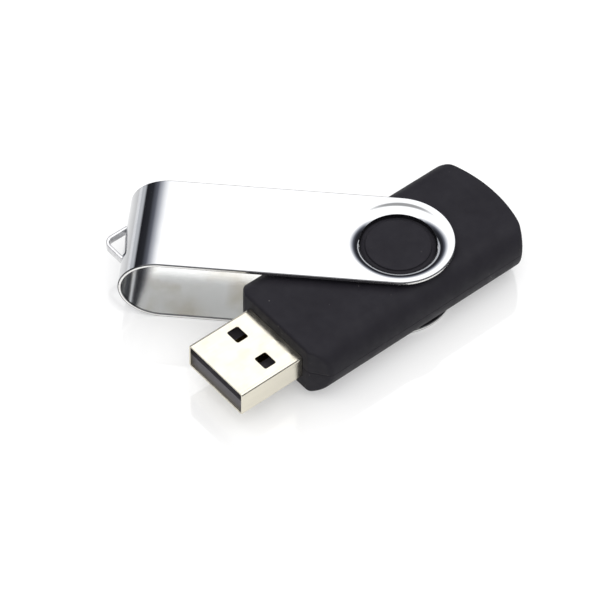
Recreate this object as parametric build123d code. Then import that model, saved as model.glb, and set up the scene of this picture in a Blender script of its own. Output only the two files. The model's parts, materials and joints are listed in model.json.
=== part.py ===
from build123d import *
from math import hypot, radians, sin, sqrt, tan
import os

# Swivel-cover USB flash drive, in millimetres.
#
# The casing holds the plug and the circuit board; a bright metal cover, bent to
# a U, turns about the pivot bosses on the casing's two faces and is drawn here
# swung aside, half way between closed and fully open. The drive lies on the
# cover's lower leg.
#
# While the pieces are made, the frame sits on the pivot axis:
#   x  from the pivot to the mouth of the plug
#   y  across the casing
#   z  thickness, zero on the seam between the two casing halves
# main() moves every finished piece to the row frame, whose origin is the
# bottom centre of the whole drive's box.

# ---- driving dimensions -------------------------------------------------------

# metal cover
cover_height = 11.45
cover_width = 16.65
cover_thickness = 0.6
mouth_gap = 5.96
bend_depth = 6.4
cover_angle = -45.0
hole_radius = 5.62
dish_run = 0.96
dish_depth = 0.91

# key loop, a strip folded to a vee and peened through the bend
loop_projection = 2.65
loop_half_angle = 45.0
loop_nose_radius = 1.6
loop_strip = 0.5
loop_height = 1.3
loop_foot_length = 0.9

# casing
casing_width = 20.0
casing_gap = 0.675
casing_front = 23.12
side_run = 3.4
corner_cut = 2.86
chamfer_angle = 53.2
tail_reach = 18.24
tail_radius = 22.3
wall = 1.3
front_wall = 2.2
boss_setback = 0.75
boss_recess = 1.075
journal_recess = 0.495
groove_clearance = 0.25
pivot_clearance = 0.05
pivot_floor = 0.8

# seam between the casing halves
lip_height = 0.7
lip_thickness = 0.6
seam_clearance = 0.05
peg_radius = 0.6
peg_depth = 1.2
peg_spacing = 7.0

# plug, a standard A plug
plug_width = 12.0
plug_height = 4.5
plug_protrusion = 11.07
plug_tail = 7.6
shell_thickness = 0.3
shell_corner = 0.5
window_length = 2.0
window_width = 2.5
window_spacing = 6.2
window_from_mouth = 5.6
shell_seam_gap = 0.08
plug_clearance = 0.05
shell_leg_length = 2.4
shell_leg_height = 2.1

# plastic tongue and its contacts
tongue_inset = 0.45
tongue_thickness = 1.84
block_length = 4.6
contact_inset = 1.0
contact_thickness = 0.25
contact_width = 1.0
contact_outer_spacing = 7.0
contact_inner_spacing = 2.0
data_setback = 1.0
contact_tail = 2.0
contact_proud = 0.05

# circuit board
board_side_gap = 0.15
board_tail_gap = 1.34
board_front_gap = 0.2
board_thickness = 0.8
slot_clearance = 0.12
post_length = 1.6
front_post_from_edge = 5.0
back_post_from_edge = 1.6
solder_size = 0.6

# memory chip, 48 leads along its two short sides
memory_length = 18.4
memory_width = 12.0
memory_height = 1.0
memory_from_front = 13.72
memory_post_gap = 0.1
lead_count_memory = 24
lead_pitch = 0.5
lead_width_memory = 0.22
lead_thickness = 0.15
lead_reach = 0.8
lead_standoff = 0.1

# controller chip, 48 leads round four sides
controller_size = 7.0
controller_height = 1.0
controller_from_front = 10.32
lead_count_controller = 12
lead_width_controller = 0.22

# crystal and chip parts
crystal_length = 3.2
crystal_width = 2.5
crystal_base_height = 0.4
crystal_lid_height = 0.4
crystal_lid_inset = 0.2
crystal_from_back = 2.88
crystal_y = 4.0
chip_length = 1.6
chip_width = 0.8
capacitor_height = 0.8
resistor_height = 0.45
end_cap = 0.3
chip_pitch = 2.2
chip_row_from_back = 2.88
chip_row_y = -5.0
chip_row_count = 4

# ---- sizes worked out from them -------------------------------------------------

half_cover = cover_height / 2
inner_cover = half_cover - cover_thickness
half_casing = inner_cover - casing_gap
side_y = casing_width / 2
flat_half_width = side_y - side_run
front_half_width = side_y - corner_cut
dish_radius = hole_radius + dish_run
dish_slope = dish_depth / dish_run
dish_top = half_cover - dish_depth
dish_bottom = dish_top - cover_thickness * hypot(1, dish_slope)
dish_root = hole_radius + (inner_cover - dish_bottom) / dish_slope
journal_radius = hole_radius - pivot_clearance
journal_top = dish_top - journal_recess
boss_radius = hole_radius - boss_setback
boss_top = half_cover - boss_recess
groove_floor = dish_bottom - groove_clearance
cavity_half_height = groove_floor - pivot_floor
cavity_half_width = flat_half_width + side_run * sqrt(1 - (cavity_half_height / half_casing) ** 2) - wall
front_inner = casing_front - front_wall
tail_centre = tail_radius - tail_reach
tail_inner = tail_centre - sqrt((tail_radius - wall) ** 2 - cavity_half_width ** 2)

plug_mouth = casing_front + plug_protrusion
cover_reach = plug_mouth + mouth_gap
bend_start = cover_reach - bend_depth
shell_rear = casing_front - plug_tail
inner_plug_width = plug_width - 2 * shell_thickness
inner_plug_height = plug_height - 2 * shell_thickness
tongue_mouth = plug_mouth - tongue_inset
tongue_bottom = -inner_plug_height / 2
tongue_top = tongue_bottom + tongue_thickness
board_top = tongue_top + contact_proud - contact_thickness
board_bottom = board_top - board_thickness
board_front = shell_rear - board_front_gap
board_back = tail_inner + board_tail_gap
board_width = 2 * (cavity_half_width - board_side_gap)
post_width = (board_width - memory_width) / 2 - memory_post_gap
contact_rear = shell_rear - contact_tail


# ---- helpers ------------------------------------------------------------------


def block(x_range, y_range, z_range):
    """A box between two corners, given as a range on each axis."""
    sizes = [high - low for low, high in (x_range, y_range, z_range)]
    middle = [(high + low) / 2 for low, high in (x_range, y_range, z_range)]
    return Pos(*middle) * Box(*sizes)


def disc(radius, low, high, x=0.0, y=0.0):
    """An upright cylinder between two heights."""
    return Pos(x, y, (low + high) / 2) * Cylinder(radius, high - low)


def upright(outline, low, high):
    """An outline on the seam plane, drawn up between two heights."""
    return Pos(0, 0, low) * extrude(outline, high - low)


def revolved(points):
    """A ring turned about the pivot axis, from (radius, height) corners."""
    return revolve(Plane.XZ * make_face(Polyline(*points, close=True)), Axis.Z)


def mirrored(shape):
    """The same shape on the far side of the seam plane."""
    return mirror(shape, about=Plane.XY)


# ---- casing -------------------------------------------------------------------


def casing_outline():
    """Plan of the casing: chamfered front corners, a tail cut to an arc."""
    tail_corner = tail_centre - sqrt(tail_radius ** 2 - side_y ** 2)
    chamfer_back = (side_y - front_half_width) / tan(radians(chamfer_angle))
    edge = Polyline(
        (tail_corner, side_y),
        (casing_front - chamfer_back, side_y),
        (casing_front, front_half_width),
        (casing_front, -front_half_width),
        (casing_front - chamfer_back, -side_y),
        (tail_corner, -side_y),
    )
    tail = ThreePointArc((tail_corner, -side_y), (-tail_reach, 0), (tail_corner, side_y))
    return make_face(edge + tail)


def casing_body(low, high):
    """Solid casing between two heights: flat faces and elliptical sides."""
    section = Rectangle(2 * flat_half_width, 2 * half_casing)
    for side in (-1, 1):
        section += Pos(side * flat_half_width, 0) * Ellipse(side_run, half_casing)
    bar = Pos(-tail_reach - wall, 0, 0) * extrude(Plane.YZ * section, casing_front + tail_reach + 2 * wall)
    return bar & upright(casing_outline(), low, high)


def pivot_face():
    """Groove, journal and boss on the upper face, as a cut and an addition."""
    over = half_casing + wall
    recess = disc(dish_radius, groove_floor, over) - disc(journal_radius, groove_floor, journal_top)
    return recess, disc(boss_radius, journal_top, boss_top)


def cavity(grow, low, high):
    """Room inside the casing, grown sideways by a given amount."""
    return block(
        (tail_inner - grow, front_inner + grow),
        (-cavity_half_width - grow, cavity_half_width + grow),
        (low, high),
    )


def plug_passage():
    """Way for the plug's shell and legs, out through the front wall."""
    return along_plug(plug_section(plug_clearance), shell_rear - shell_leg_length - wall, plug_mouth)


def tail_pegs(radius, depth):
    """The two locating pegs in the tail wall, reaching down from the seam."""
    x = (tail_inner - tail_reach) / 2
    return [disc(radius, -depth, 0, x, side * peg_spacing / 2) for side in (-1, 1)]


def board_posts(low, high):
    """Four posts inside the casing that hold the board by its edges."""
    posts = []
    for x in (board_back + back_post_from_edge, board_front - front_post_from_edge):
        for side in (-1, 1):
            inner = side * (board_width / 2 - post_width)
            outer = side * board_width / 2
            posts.append(
                block(
                    (x - post_length / 2, x + post_length / 2),
                    (min(inner, outer), max(inner, outer)),
                    (low, high),
                )
            )
    return posts


def make_upper_casing():
    """Upper half: boss on top, rebate along the seam, hold-down posts, pegs."""
    cut, boss = pivot_face()
    half = casing_body(0, half_casing) - cut + boss
    half -= cavity(0, -wall, cavity_half_height)
    half -= cavity(lip_thickness + seam_clearance, -wall, lip_height + seam_clearance)
    half -= plug_passage()
    for post in board_posts(board_top, cavity_half_height):
        half += post
    for peg in tail_pegs(peg_radius, peg_depth):
        half += peg
    return half


def make_lower_casing():
    """Lower half: boss below, lip along the seam, board rests, peg sockets."""
    cut, boss = pivot_face()
    half = casing_body(-half_casing, 0) - mirrored(cut) + mirrored(boss)
    half += cavity(lip_thickness, -wall, lip_height)
    half -= cavity(0, -cavity_half_height, half_casing)
    half -= plug_passage()
    for post in board_posts(-cavity_half_height, board_bottom):
        half += post
    for socket in tail_pegs(peg_radius + seam_clearance, peg_depth + seam_clearance):
        half -= socket
    return half


# ---- plug ---------------------------------------------------------------------


def plug_section(grow):
    """Cross-section of the plug, grown all round by a given amount."""
    return RectangleRounded(plug_width + 2 * grow, plug_height + 2 * grow, shell_corner + grow)


def along_plug(section, rear, front):
    """A cross-section drawn out between two places along the plug."""
    return Pos(rear, 0, 0) * extrude(Plane.YZ * section, front - rear)


def make_plug_shell():
    """Folded sheet shell: latch windows, a seam below and two soldered legs."""
    shell = along_plug(plug_section(0) - plug_section(-shell_thickness), shell_rear, plug_mouth)
    window_front = plug_mouth - window_from_mouth
    for side in (-1, 1):
        y = side * window_spacing / 2
        shell -= block(
            (window_front - window_length, window_front),
            (y - window_width / 2, y + window_width / 2),
            (-plug_height, plug_height),
        )
        outer = side * plug_width / 2
        inner = side * inner_plug_width / 2
        shell += block(
            (shell_rear - shell_leg_length, shell_rear),
            (min(outer, inner), max(outer, inner)),
            (-shell_leg_height, shell_leg_height / 2),
        )
    return shell - block(
        (shell_rear, plug_mouth),
        (-shell_seam_gap / 2, shell_seam_gap / 2),
        (-plug_height, tongue_bottom),
    )


contact_layout = {
    "contact_power": (contact_outer_spacing / 2, 0.0),
    "contact_data_minus": (contact_inner_spacing / 2, data_setback),
    "contact_data_plus": (-contact_inner_spacing / 2, data_setback),
    "contact_ground": (-contact_outer_spacing / 2, 0.0),
}


def make_contact(y, setback):
    """One flat contact, from its place on the tongue back to the board."""
    return block(
        (contact_rear, tongue_mouth - contact_inset - setback),
        (y - contact_width / 2, y + contact_width / 2),
        (board_top, board_top + contact_thickness),
    )


def make_plug_insulator():
    """Plastic tongue with a full-height block at the back of the shell."""
    section = plug_section(-shell_thickness)
    tongue = along_plug(section, shell_rear, tongue_mouth)
    tongue -= block(
        (shell_rear + block_length, plug_mouth),
        (-plug_width, plug_width),
        (tongue_top, plug_height),
    )
    for y, setback in contact_layout.values():
        tongue -= make_contact(y, setback)
    return tongue


# ---- board and its parts --------------------------------------------------------


def make_circuit_board():
    """Board with two notches at the front edge for the shell's legs."""
    board = block(
        (board_back, board_front),
        (-board_width / 2, board_width / 2),
        (board_bottom, board_top),
    )
    for side in (-1, 1):
        y = side * (plug_width - shell_thickness) / 2
        half_slot = shell_thickness / 2 + slot_clearance
        board -= block(
            (shell_rear - shell_leg_length - slot_clearance, board_front + wall),
            (y - half_slot, y + half_slot),
            (board_bottom - wall, board_top + wall),
        )
    return board


def gull_lead(width, body_height):
    """One bent lead: out of a body's side at x = 0, down to a foot at z = 0."""
    middle = lead_standoff + body_height / 2
    knee = lead_reach / 3
    outline = Polyline(
        (0, middle),
        (knee, middle),
        (knee, 0),
        (lead_reach, 0),
        (lead_reach, lead_thickness),
        (knee + lead_thickness, lead_thickness),
        (knee + lead_thickness, middle + lead_thickness),
        (0, middle + lead_thickness),
        close=True,
    )
    return extrude(Plane.XZ * make_face(outline), width / 2, both=True)


def lead_row(count, width, body_height, reach, turn):
    """A row of leads along one side of a chip, a quarter turn at a time."""
    lead = gull_lead(width, body_height)
    offsets = [(index - (count - 1) / 2) * lead_pitch for index in range(count)]
    return [Rot(0, 0, turn) * Pos(reach, offset, 0) * lead for offset in offsets]


def on_top(x, y):
    """Place for a part that stands on the board's upper face."""
    return Pos(x, y, board_top)


def below(x, y):
    """Place for a part that hangs under the board, turned over."""
    return Pos(x, y, board_bottom) * Rot(180, 0, 0)


def chip_body(length, width, height):
    """A moulded chip body, standing off the board by its leads."""
    return Pos(0, 0, lead_standoff + height / 2) * Box(length, width, height)


def make_memory():
    """The memory chip's body and its two rows of leads."""
    place_chip = on_top(board_front - memory_from_front, 0)
    leads = []
    for turn in (0, 180):
        leads += lead_row(lead_count_memory, lead_width_memory, memory_height, memory_length / 2, turn)
    body = chip_body(memory_length, memory_width, memory_height)
    return place_chip * body, [place_chip * lead for lead in leads]


def make_controller():
    """The controller chip's body and its four rows of leads."""
    place_chip = below(board_front - controller_from_front, 0)
    leads = []
    for turn in (0, 90, 180, 270):
        leads += lead_row(
            lead_count_controller, lead_width_controller, controller_height, controller_size / 2, turn
        )
    body = chip_body(controller_size, controller_size, controller_height)
    return place_chip * body, [place_chip * lead for lead in leads]


def make_crystal():
    """The clock crystal: a ceramic base and a metal lid."""
    spot = on_top(board_back + crystal_from_back, crystal_y)
    base = Pos(0, 0, crystal_base_height / 2) * Box(crystal_width, crystal_length, crystal_base_height)
    lid = Box(
        crystal_width - 2 * crystal_lid_inset,
        crystal_length - 2 * crystal_lid_inset,
        crystal_lid_height,
    )
    lid_middle = crystal_base_height + crystal_lid_height / 2
    return spot * base, spot * Pos(0, 0, lid_middle) * lid


def chip_parts(height, spots):
    """Two-ended chip parts at several places: their bodies and end caps."""
    bodies = []
    caps = []
    for spot in spots:
        bodies.append(spot * Pos(0, 0, height / 2) * Box(chip_length - 2 * end_cap, chip_width, height))
        for side in (-1, 1):
            x = side * (chip_length - end_cap) / 2
            caps.append(spot * Pos(x, 0, height / 2) * Box(end_cap, chip_width, height))
    return bodies, caps


def solder_wedge(length):
    """A solder fillet: its upright face at x = 0, its foot at z = 0."""
    outline = Polyline((0, 0), (solder_size, 0), (0, solder_size), close=True)
    return extrude(Plane.XZ * make_face(outline), length / 2, both=True)


def make_shell_solder():
    """Fillets on both faces of each shell leg, on top of the board."""
    wedge = solder_wedge(shell_leg_length / 2)
    x = shell_rear - shell_leg_length / 2
    joints = []
    for side in (-1, 1):
        outer = side * plug_width / 2
        inner = side * inner_plug_width / 2
        joints.append(on_top(x, outer) * Rot(0, 0, side * 90) * wedge)
        joints.append(on_top(x, inner) * Rot(0, 0, -side * 90) * wedge)
    return joints


def make_contact_solder():
    """A fillet behind the tail of each contact."""
    wedge = solder_wedge(contact_width)
    low = block((-solder_size, solder_size), (-contact_width, contact_width), (0, contact_thickness))
    wedge = wedge & low
    return [on_top(contact_rear, y) * Rot(0, 0, 180) * wedge for y, _ in contact_layout.values()]


# ---- cover --------------------------------------------------------------------


def cover_profile(depth, half_height):
    """Side view of the cover's outer or inner surface, closed behind the end."""
    length = bend_start + cover_width / 2
    legs = Pos(bend_start - length / 2, 0) * Rectangle(length, 2 * half_height)
    return legs + Pos(bend_start, 0) * Ellipse(depth, half_height)


def wall_x(depth, half_height, z):
    """How far the bend reaches at a given height."""
    return bend_start + depth * sqrt(1 - (z / half_height) ** 2)


loop_tip = cover_reach + loop_projection + loop_nose_radius * (1 / sin(radians(loop_half_angle)) - 1)
loop_base_y = (loop_tip - cover_reach) * tan(radians(loop_half_angle))


def loop_face(inset):
    """Vee with a rounded nose, standing on the bend, drawn in by an inset."""
    tip = loop_tip - inset / sin(radians(loop_half_angle))
    base_y = (tip - cover_reach) * tan(radians(loop_half_angle))
    outline = Polyline((cover_reach, -base_y), (tip, 0), (cover_reach, base_y), close=True)
    face = make_face(outline)
    return fillet(face.vertices().sort_by(Axis.X)[-1], loop_nose_radius - inset)


def make_key_loop():
    """Folded strip whose ends pass through the bend and are peened over."""
    half = loop_height / 2
    loop = upright(loop_face(0) - loop_face(loop_strip), -half, half)
    inside = wall_x(bend_depth - cover_thickness, inner_cover, half)
    foot_back = inside - loop_strip
    for side in (-1, 1):
        inner = side * (loop_base_y - loop_strip)
        outer = side * loop_base_y
        toe = side * (loop_base_y + loop_foot_length)
        loop += block((foot_back, cover_reach), (min(inner, outer), max(inner, outer)), (-half, half))
        loop += block((foot_back, inside), (min(inner, toe), max(inner, toe)), (-half, half))
    return loop


def make_swivel_cover():
    """Strip bent to a U with a round end, dished pivot holes and loop slots."""
    inner = cover_profile(bend_depth - cover_thickness, inner_cover)
    profile = cover_profile(bend_depth, half_cover) - inner
    profile &= Pos(cover_reach / 2, 0) * Rectangle(cover_reach + cover_width, 2 * cover_height)
    strip = extrude(Plane.XZ * profile, cover_width / 2, both=True)
    plan = Pos(cover_reach / 2, 0) * Rectangle(cover_reach, cover_width) + Circle(cover_width / 2)
    cover = strip & upright(plan, -half_cover, half_cover)
    cover -= disc(dish_root, -half_cover, half_cover)
    dish = revolved(
        [
            (hole_radius, dish_bottom),
            (hole_radius, dish_top),
            (dish_radius, half_cover),
            (dish_root, half_cover),
            (dish_root, inner_cover),
        ]
    )
    cover += dish
    cover += mirrored(dish)
    half_slot = loop_height / 2 + seam_clearance
    for side in (-1, 1):
        inner_y = side * (loop_base_y - loop_strip - seam_clearance)
        outer_y = side * (loop_base_y + seam_clearance)
        cover -= block(
            (bend_start, cover_reach + wall),
            (min(inner_y, outer_y), max(inner_y, outer_y)),
            (-half_slot, half_slot),
        )
    return cover


# ---- whole drive --------------------------------------------------------------


def make_pieces():
    """Every node by name, in the pivot's frame: a list of solids for each."""
    memory, memory_leads = make_memory()
    controller, controller_leads = make_controller()
    crystal_base, crystal_lid = make_crystal()
    row_x = board_back + chip_row_from_back
    row = [chip_row_y + index * chip_pitch for index in range(chip_row_count)]
    capacitors, capacitor_caps = chip_parts(capacitor_height, [on_top(row_x, y) for y in row])
    resistors, resistor_caps = chip_parts(resistor_height, [below(row_x, y) for y in row])
    pieces = {
        "upper_casing": [make_upper_casing()],
        "lower_casing": [make_lower_casing()],
        "plug_shell": [make_plug_shell()],
        "plug_insulator": [make_plug_insulator()],
        "circuit_board": [make_circuit_board()],
        "memory_chip": [memory],
        "memory_chip_leads": memory_leads,
        "controller_chip": [controller],
        "controller_chip_leads": controller_leads,
        "crystal_base": [crystal_base],
        "crystal_lid": [crystal_lid],
        "chip_capacitors": capacitors,
        "capacitor_end_caps": capacitor_caps,
        "chip_resistors": resistors,
        "resistor_end_caps": resistor_caps,
        "shell_solder": make_shell_solder(),
        "contact_solder": make_contact_solder(),
    }
    for name, (y, setback) in contact_layout.items():
        pieces[name] = [make_contact(y, setback)]
    swing = Rot(0, 0, cover_angle)
    pieces["swivel_cover"] = [swing * make_swivel_cover()]
    pieces["key_loop"] = [swing * make_key_loop()]
    return pieces


def whole_box(pieces):
    """Lowest and highest corners of the whole drive, over all its solids."""
    boxes = [solid.bounding_box() for solids in pieces.values() for solid in solids]
    low = [min(values) for values in zip(*(box.min for box in boxes))]
    high = [max(values) for values in zip(*(box.max for box in boxes))]
    return low, high


def main():
    """Moves the pieces to the row frame and writes one file for each node."""
    pieces = make_pieces()
    low, high = whole_box(pieces)
    pivot = (-(low[0] + high[0]) / 2, -(low[1] + high[1]) / 2, -low[2])
    os.makedirs("parts", exist_ok=True)
    for name, solids in pieces.items():
        placed = [Pos(*pivot) * solid for solid in solids]
        shape = placed[0] if len(placed) == 1 else Compound(children=placed)
        export_step(shape, f"parts/{name}.step")
    print("pivot axis and seam at", [round(value, 5) for value in pivot])
    print("box", [round(top - bottom, 4) for bottom, top in zip(low, high)])


if __name__ == "__main__":
    main()
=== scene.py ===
"""Looks of a swivel-cover flash drive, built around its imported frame."""

import json
import logging
import math
from dataclasses import dataclass
from enum import Enum
from typing import Iterable, Protocol, Sequence

import bmesh
import bpy
from mathutils import Matrix, Vector


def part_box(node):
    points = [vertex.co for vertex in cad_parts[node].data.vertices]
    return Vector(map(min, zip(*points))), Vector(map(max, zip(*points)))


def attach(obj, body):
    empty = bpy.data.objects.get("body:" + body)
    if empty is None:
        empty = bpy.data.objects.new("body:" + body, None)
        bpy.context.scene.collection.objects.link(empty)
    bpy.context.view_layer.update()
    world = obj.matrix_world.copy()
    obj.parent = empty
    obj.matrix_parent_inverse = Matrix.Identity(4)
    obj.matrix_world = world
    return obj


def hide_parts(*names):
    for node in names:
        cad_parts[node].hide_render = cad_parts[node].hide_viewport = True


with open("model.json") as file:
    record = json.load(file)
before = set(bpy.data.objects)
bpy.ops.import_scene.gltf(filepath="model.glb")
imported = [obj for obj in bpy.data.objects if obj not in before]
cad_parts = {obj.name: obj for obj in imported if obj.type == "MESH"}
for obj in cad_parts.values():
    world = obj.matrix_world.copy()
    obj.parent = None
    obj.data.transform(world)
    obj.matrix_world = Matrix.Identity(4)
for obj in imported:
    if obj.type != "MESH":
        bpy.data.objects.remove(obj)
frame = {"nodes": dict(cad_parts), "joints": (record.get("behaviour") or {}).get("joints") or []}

log = logging.getLogger("flash_drive")

MM = 0.001
Point2 = tuple[float, float]
Span = tuple[float, float]
Colour = tuple[float, float, float]
Socket = bpy.types.NodeSocket
Ring = list[bmesh.types.BMVert]

FULL: Span = (0.0, 1.0)
MIDDLE: Span = (0.35, 0.65)  # the values that a noise takes most often
BROAD: Span = (0.3, 0.7)  # nearly all of a noise's values


class Body(Enum):
    """The two bodies that the hinge joins."""

    CASING = "casing"
    COVER = "cover"


class Side(Enum):
    """Which half of the casing a shell is, as the sign of its height."""

    UPPER = 1
    LOWER = -1


# ---- shader graphs ----------------------------------------------------------------


class Graph:
    """A material's node tree, with one Principled shader at its end."""

    def __init__(self, name: str) -> None:
        """Start an empty material.

        Args:
            name: the material's name.
        """
        self.material = bpy.data.materials.new(name)
        self.material.use_nodes = True
        self.nodes = self.material.node_tree.nodes
        self.links = self.material.node_tree.links
        self.nodes.clear()
        self.shader = self.nodes.new("ShaderNodeBsdfPrincipled")
        output = self.nodes.new("ShaderNodeOutputMaterial")
        self.links.new(self.shader.outputs["BSDF"], output.inputs["Surface"])
        self.place = self.nodes.new("ShaderNodeTexCoord").outputs["Object"]

    def set(self, **values: object) -> None:
        """Set constant inputs of the shader, with underscores for spaces."""
        for key, value in values.items():
            self.shader.inputs[key.replace("_", " ")].default_value = value

    def feed(self, socket: Socket, name: str) -> None:
        """Link a socket to one of the shader's inputs."""
        self.links.new(socket, self.shader.inputs[name])

    def tone(self, pattern: Socket, span: Span, first: Colour, second: Colour) -> None:
        """Fade the base colour from one to another as a pattern rises.

        Args:
            pattern: the factor socket that the fade follows.
            span: the pattern's values where the fade starts and ends.
            first: the colour up to the start of the span.
            second: the colour from its end.
        """
        self.feed(self.blend(self.remap(pattern, span, FULL), first, second), "Base Color")

    def gloss(self, pattern: Socket, span: Span, roughness: Span) -> None:
        """Let the roughness follow a pattern between two values."""
        self.feed(self.remap(pattern, span, roughness), "Roughness")

    def stretched(self, scale: Sequence[float], turn: float = 0.0) -> Socket:
        """Object coordinates, turned about Z and scaled on each axis.

        Args:
            scale: factor along X, Y and Z.
            turn: turn about Z in radians, before scaling.

        Returns:
            The vector socket of the mapped coordinates.
        """
        turned = self.nodes.new("ShaderNodeMapping")
        turned.inputs["Rotation"].default_value = (0.0, 0.0, turn)
        self.links.new(self.place, turned.inputs["Vector"])
        scaled = self.nodes.new("ShaderNodeMapping")
        scaled.inputs["Scale"].default_value = scale
        self.links.new(turned.outputs["Vector"], scaled.inputs["Vector"])
        return scaled.outputs["Vector"]

    def noise(
        self, size: float, detail: float = 3.0, roughness: float = 0.5, vector: Socket | None = None
    ) -> Socket:
        """Noise whose features are about a given size.

        Args:
            size: feature size in metres, or in the vector's own units.
            detail: number of octaves.
            roughness: strength of the finer octaves.
            vector: coordinates, by default the object's own.

        Returns:
            The factor socket, about 0.5 on average.
        """
        node = self.nodes.new("ShaderNodeTexNoise")
        node.inputs["Scale"].default_value = 1.0 / size
        node.inputs["Detail"].default_value = detail
        node.inputs["Roughness"].default_value = roughness
        self.links.new(vector or self.place, node.inputs["Vector"])
        return node.outputs["Fac"]

    def specks(
        self, size: float, radius: float, solid: float = 0.6, chosen: Span = (0.80, 0.84)
    ) -> Socket:
        """Sparse round specks.

        Args:
            size: spacing of the cells that may hold a speck, in metres.
            radius: a speck's radius as a share of its cell.
            solid: share of that radius inside which the speck is dense.
            chosen: which of the cells' random values give a speck, from faint to full.

        Returns:
            A factor socket, 1 inside a speck and 0 elsewhere.
        """
        cells = self.nodes.new("ShaderNodeTexVoronoi")
        cells.inputs["Scale"].default_value = 1.0 / size
        self.links.new(self.place, cells.inputs["Vector"])
        inside = self.remap(cells.outputs["Distance"], (radius, radius * solid), FULL)
        kept = self.remap(cells.outputs["Color"], chosen, FULL)
        return self.compute("MULTIPLY", inside, kept)

    def remap(self, value: Socket, span: Span, result: Span) -> Socket:
        """Map a value from one range to another, clamped at its ends.

        Args:
            value: the socket to map.
            span: the values that become the ends of the result.
            result: the range to map to.

        Returns:
            The socket of the mapped value.
        """
        node = self.nodes.new("ShaderNodeMapRange")
        node.clamp = True
        for name, number in zip(("From Min", "From Max", "To Min", "To Max"), (*span, *result)):
            node.inputs[name].default_value = number
        self.links.new(value, node.inputs["Value"])
        return node.outputs["Result"]

    def compute(self, operation: str, first: Socket, second: Socket) -> Socket:
        """One step of arithmetic.

        Args:
            operation: the Math node's operation.
            first: its first socket.
            second: its second socket.

        Returns:
            The socket of the result.
        """
        node = self.nodes.new("ShaderNodeMath")
        node.operation = operation
        self.links.new(first, node.inputs[0])
        self.links.new(second, node.inputs[1])
        return node.outputs[0]

    def blend(self, factor: Socket, first: Colour | Socket, second: Colour) -> Socket:
        """Mix two colours by a factor.

        Args:
            factor: share of the second colour.
            first: a colour, or the socket of one.
            second: the other colour.

        Returns:
            The socket of the mixed colour.
        """
        node = self.nodes.new("ShaderNodeMix")
        node.data_type = "RGBA"
        self.links.new(factor, node.inputs["Factor"])
        if isinstance(first, tuple):
            node.inputs["A"].default_value = (*first, 1.0)
        else:
            self.links.new(first, node.inputs["A"])
        node.inputs["B"].default_value = (*second, 1.0)
        return node.outputs["Result"]

    def bump(self, height: Socket, depth: float, strength: float) -> None:
        """Raise the surface by a height socket.

        Args:
            height: the pattern of the relief.
            depth: the most that it rises, in metres.
            strength: how far the relief shows, from 0 to 1.
        """
        node = self.nodes.new("ShaderNodeBump")
        node.inputs["Distance"].default_value = depth
        node.inputs["Strength"].default_value = strength
        self.links.new(height, node.inputs["Height"])
        self.links.new(node.outputs["Normal"], self.shader.inputs["Normal"])


# ---- finishes -------------------------------------------------------------------


class Finish(Protocol):
    """Anything that makes a material."""

    def build(self) -> bpy.types.Material:
        """Make the material."""


@dataclass(frozen=True)
class SoftTouch:
    """Matte rubbery coating: fine grain, faint dust, a soft grazing bloom."""

    colour: Colour = (0.0120, 0.0108, 0.0152)
    worn: Colour = (0.0150, 0.0138, 0.0186)
    dust: Colour = (0.22, 0.21, 0.20)
    dust_spacing: float = 0.85 * MM
    dust_radius: float = 0.085
    patch: float = 4.0 * MM
    cloud: float = 1.5 * MM
    roughness: Span = (0.56, 0.70)
    grain: float = 0.11 * MM
    relief: float = 0.012 * MM
    specular: float = 0.19
    sheen: float = 0.03
    sheen_roughness: float = 0.45

    def build(self) -> bpy.types.Material:
        """Make the material.

        Returns:
            The coating, worn in patches and lightly dusted.
        """
        graph = Graph("soft_touch")
        patches = graph.remap(graph.noise(self.patch, detail=4.0), MIDDLE, FULL)
        base = graph.blend(patches, self.colour, self.worn)
        specks = graph.specks(self.dust_spacing, self.dust_radius)
        graph.feed(graph.blend(specks, base, self.dust), "Base Color")
        graph.gloss(graph.noise(self.cloud, detail=4.0), BROAD, self.roughness)
        graph.bump(graph.noise(self.grain, detail=2.0), self.relief, 0.5)
        graph.set(
            Specular_IOR_Level=self.specular,
            Sheen_Weight=self.sheen,
            Sheen_Roughness=self.sheen_roughness,
        )
        return graph.material


@dataclass(frozen=True)
class PolishedSheet:
    """Polished sheet steel: near mirror, with the faintest rolling waviness."""

    colour: Colour = (0.61, 0.615, 0.625)
    tarnish: Colour = (0.57, 0.575, 0.59)
    cloud: float = 5.0 * MM
    turn: float = math.radians(45)
    stretch: tuple[float, float, float] = (400.0, 9000.0, 9000.0)
    roughness: Span = (0.035, 0.085)
    wave: float = 2.6 * MM
    relief: float = 0.0012 * MM

    def build(self) -> bpy.types.Material:
        """Make the material.

        Returns:
            The polished face, with fine lines along the strip.
        """
        graph = Graph("polished_sheet")
        graph.tone(graph.noise(self.cloud), (0.35, 0.7), self.colour, self.tarnish)
        lines = graph.noise(1.0, detail=2.0, vector=graph.stretched(self.stretch, self.turn))
        graph.gloss(lines, (0.35, 0.8), self.roughness)
        graph.bump(graph.noise(self.wave, detail=1.0), self.relief, 0.35)
        graph.set(Metallic=1.0)
        return graph.material


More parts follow.
